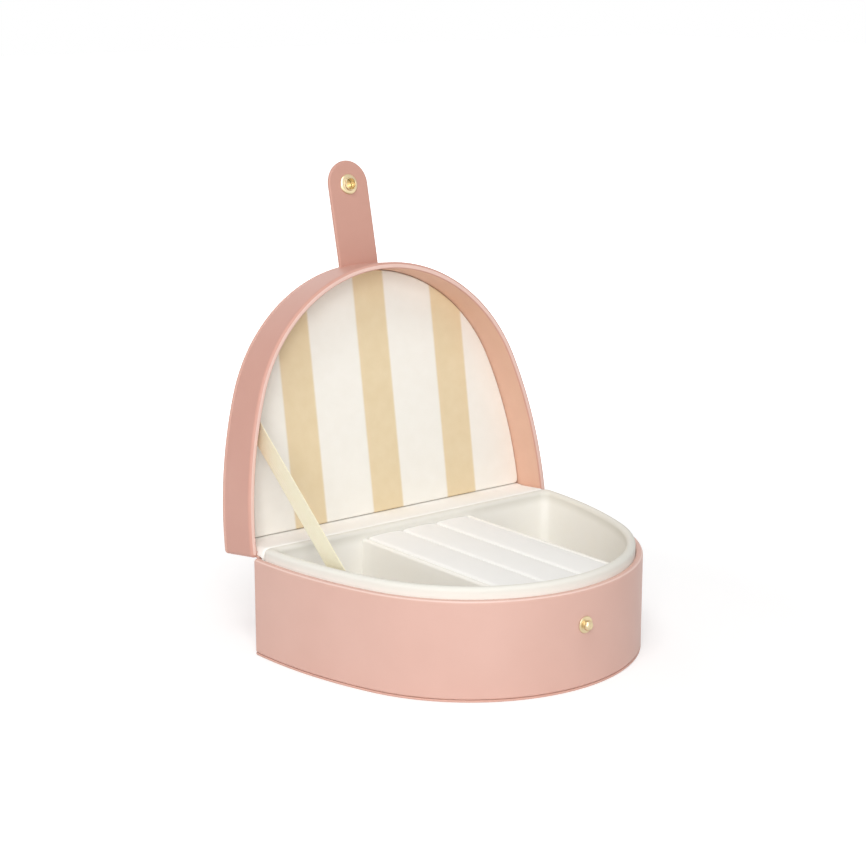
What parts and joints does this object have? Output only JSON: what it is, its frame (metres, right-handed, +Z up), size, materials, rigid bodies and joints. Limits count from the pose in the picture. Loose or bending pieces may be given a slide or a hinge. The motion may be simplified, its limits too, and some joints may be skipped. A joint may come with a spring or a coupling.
{
  "type": "jewelry box",
  "caption": "Arched leather-covered jewelry box with a fabric-lined hinged lid, ribbon stay, ring cushion, side compartments and a press-stud strap.",
  "frame": {"origin": "middle of the footprint, on the underside", "axes": "+X along the hinge to the right, -Y towards the arched front, +Z up"},
  "size_m": [0.17, 0.1725, 0.2066],
  "materials": {
    "pink_leather": "fine-grained pale pink leather, satin",
    "strap_leather": "fine-grained pale pink leather, satin",
    "pink_lining": "smooth pink lining",
    "cream_suede": "short-napped cream suede cloth over card",
    "white_suede_foam": "short-napped off-white suede cloth over foam",
    "cream_cloth": "cream lining cloth",
    "cream_ribbon": "woven cream ribbon",
    "striped_cloth": "off-white cloth with broad pale gold stripes, lightly padded",
    "grey_board": "plain grey board",
    "gold_metal": "pale gold plating, polished"
  },
  "bodies": {
    "base": {"bottom_panel": "pink_leather", "base_wall_board": "grey_board", "base_wall_cover": "pink_leather", "tray_floor": "cream_suede", "tray_collar": "cream_suede", "divider_left": "cream_suede", "divider_right": "cream_suede", "ring_pad_left": "white_suede_foam", "ring_pad_centre": "white_suede_foam", "ring_pad_right": "white_suede_foam", "front_stud": "gold_metal", "stud_washer": "gold_metal", "hinge_spine": "pink_leather", "hinge_lining": "cream_cloth", "stay_ribbon": "cream_ribbon"},
    "lid": {"lid_top_panel": "pink_leather", "lid_wall_board": "grey_board", "lid_wall_cover": "pink_leather", "lid_wall_lining": "pink_lining", "lid_pad_board": "grey_board", "lid_pad": "striped_cloth", "strap_root": "strap_leather"},
    "strap": {"strap_lining": "strap_leather", "strap_core": "grey_board", "strap_face": "strap_leather", "snap_socket": "gold_metal", "snap_cap": "gold_metal"}
  },
  "joints": [
    {"name": "lid_hinge", "type": "hinge", "parent": "base", "child": "lid", "pos_m": [0, 0.06025, 0.0436], "axis": [1, 0, 0], "range_deg": [0, 98.3], "deforming": ["hinge_spine", "hinge_lining", "stay_ribbon"]},
    {"name": "strap_fold", "type": "hinge", "parent": "lid", "child": "strap", "pos_m": [0, 0.09729, 0.16139], "axis": [1, 0, 0], "range_deg": [-20, 89.5], "stiffness_Nm_per_rad": 0.03}
  ]
}
